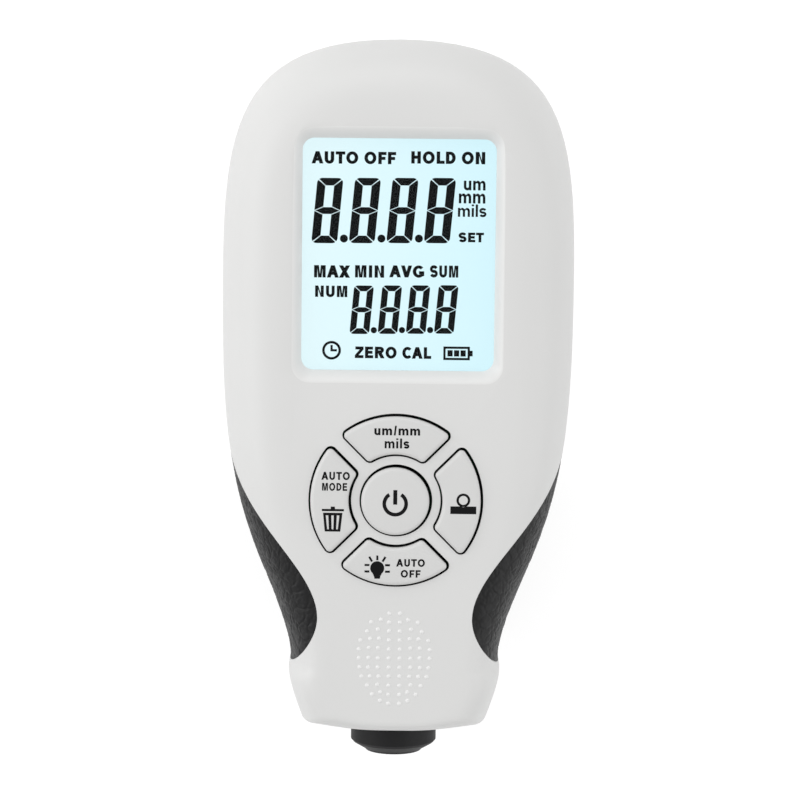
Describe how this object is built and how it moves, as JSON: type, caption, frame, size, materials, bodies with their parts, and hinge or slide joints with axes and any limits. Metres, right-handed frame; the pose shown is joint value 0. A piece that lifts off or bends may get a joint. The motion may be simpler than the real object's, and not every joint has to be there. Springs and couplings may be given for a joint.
{
  "type": "coating thickness gauge",
  "caption": "Handheld coating thickness gauge: waisted two-part housing with a display, a ring of keys, side grips and a spring-loaded measuring probe at the lower end.",
  "frame": {"origin": "middle of the bounding box, at the height of the back face that the gauge lies on", "axes": "+Z out of the front face with the display and keys, +Y towards the display end, probe towards -Y, +X to the right seen from the front"},
  "size_m": [0.0536, 0.11, 0.0268],
  "materials": {
    "housing_plastic": "white moulded ABS, fine matt",
    "grip_rubber": "black rubber with a leather grain",
    "screw_steel": "plated steel screw",
    "clear_lens": "clear moulded acrylic",
    "display_glass": "lit liquid crystal panel, pale cyan",
    "light_guide": "milky light guide",
    "frame_plastic": "natural moulded plastic",
    "elastomer": "layered contact elastomer",
    "circuit_board": "green solder mask on glass epoxy",
    "black_plastic": "black moulded plastic",
    "key_plastic": "pale grey moulded plastic, fine matt",
    "cell_jacket": "plain printed film over a steel can",
    "contact_steel": "nickel plated spring steel",
    "probe_plastic": "black turned acetal",
    "tip_steel": "hardened polished steel",
    "copper_wire": "enamelled copper winding",
    "lead_jacket": "soft insulated lead"
  },
  "bodies": {
    "housing": {"front_shell": "housing_plastic", "rear_shell": "housing_plastic", "left_grip": "grip_rubber", "right_grip": "grip_rubber", "case_screws": "screw_steel", "display_lens": "clear_lens", "lcd_panel": "display_glass", "lcd_backlight": "light_guide", "lcd_frame": "frame_plastic", "contact_strips": "elastomer", "main_board": "circuit_board", "board_screws": "screw_steel", "controller_chip": "black_plastic", "key_switches": "black_plastic", "probe_connector": "frame_plastic", "left_cell": "cell_jacket", "right_cell": "cell_jacket", "bridge_contact": "contact_steel", "positive_contact": "contact_steel", "negative_contact": "contact_steel", "probe_holder": "probe_plastic", "probe_spring": "contact_steel", "probe_lead": "lead_jacket"},
    "power": {"power_key": "key_plastic", "power_plunger": "black_plastic"},
    "unit": {"unit_key": "key_plastic", "unit_plunger": "black_plastic"},
    "mode": {"mode_key": "key_plastic", "mode_plunger": "black_plastic"},
    "zero": {"zero_key": "key_plastic", "zero_plunger": "black_plastic"},
    "light": {"light_key": "key_plastic", "light_plunger": "black_plastic"},
    "probe": {"probe_sleeve": "probe_plastic", "probe_core": "tip_steel", "coil_bobbin": "frame_plastic", "coil_winding": "copper_wire"},
    "door": {"battery_door": "housing_plastic"}
  },
  "joints": [
    {"name": "power_press", "type": "slide", "parent": "housing", "child": "power", "axis": [0, 0, -1], "range_m": [0, 0.0005], "stiffness_N_per_m": 400},
    {"name": "unit_press", "type": "slide", "parent": "housing", "child": "unit", "axis": [0, 0, -1], "range_m": [0, 0.0005], "stiffness_N_per_m": 400},
    {"name": "mode_press", "type": "slide", "parent": "housing", "child": "mode", "axis": [0, 0, -1], "range_m": [0, 0.0005], "stiffness_N_per_m": 400},
    {"name": "zero_press", "type": "slide", "parent": "housing", "child": "zero", "axis": [0, 0, -1], "range_m": [0, 0.0005], "stiffness_N_per_m": 400},
    {"name": "light_press", "type": "slide", "parent": "housing", "child": "light", "axis": [0, 0, -1], "range_m": [0, 0.0005], "stiffness_N_per_m": 400},
    {"name": "probe_press", "type": "slide", "parent": "housing", "child": "probe", "axis": [0, 1, 0], "range_m": [0, 0.002], "stiffness_N_per_m": 500, "deforming": ["probe_spring", "probe_lead"]},
    {"name": "door_slide", "type": "slide", "parent": "housing", "child": "door", "axis": [0, 1, 0], "range_m": [0, 0.062]}
  ]
}
